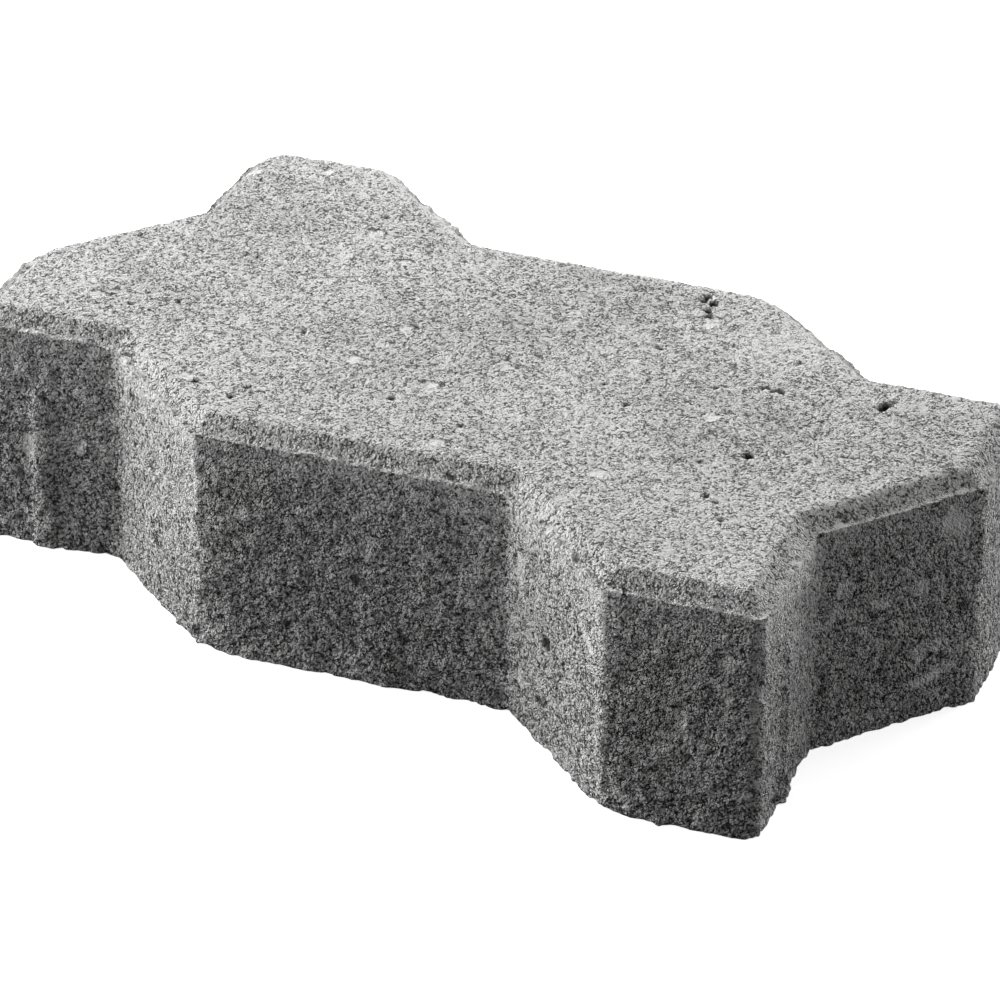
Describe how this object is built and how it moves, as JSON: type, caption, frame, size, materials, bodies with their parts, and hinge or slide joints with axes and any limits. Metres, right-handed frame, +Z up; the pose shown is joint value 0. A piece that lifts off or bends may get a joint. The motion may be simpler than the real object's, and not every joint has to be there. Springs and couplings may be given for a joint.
{
  "type": "interlocking concrete paving stone",
  "caption": "Thick concrete paver with zig-zag interlocking sides, a chamfered wearing face and upright spacer nibs.",
  "frame": {"origin": "middle of the bed face, on the floor", "axes": "+X along the stone, two laying modules long; +Y across it; +Z up, from the bed face to the chamfered wearing face"},
  "size_m": [0.2416, 0.1292, 0.06],
  "materials": {
    "concrete": "dry pressed concrete, matt and granular, light grey cement with fine aggregate"
  },
  "bodies": {
    "root": {"paving_stone": "concrete"}
  },
  "joints": []
}
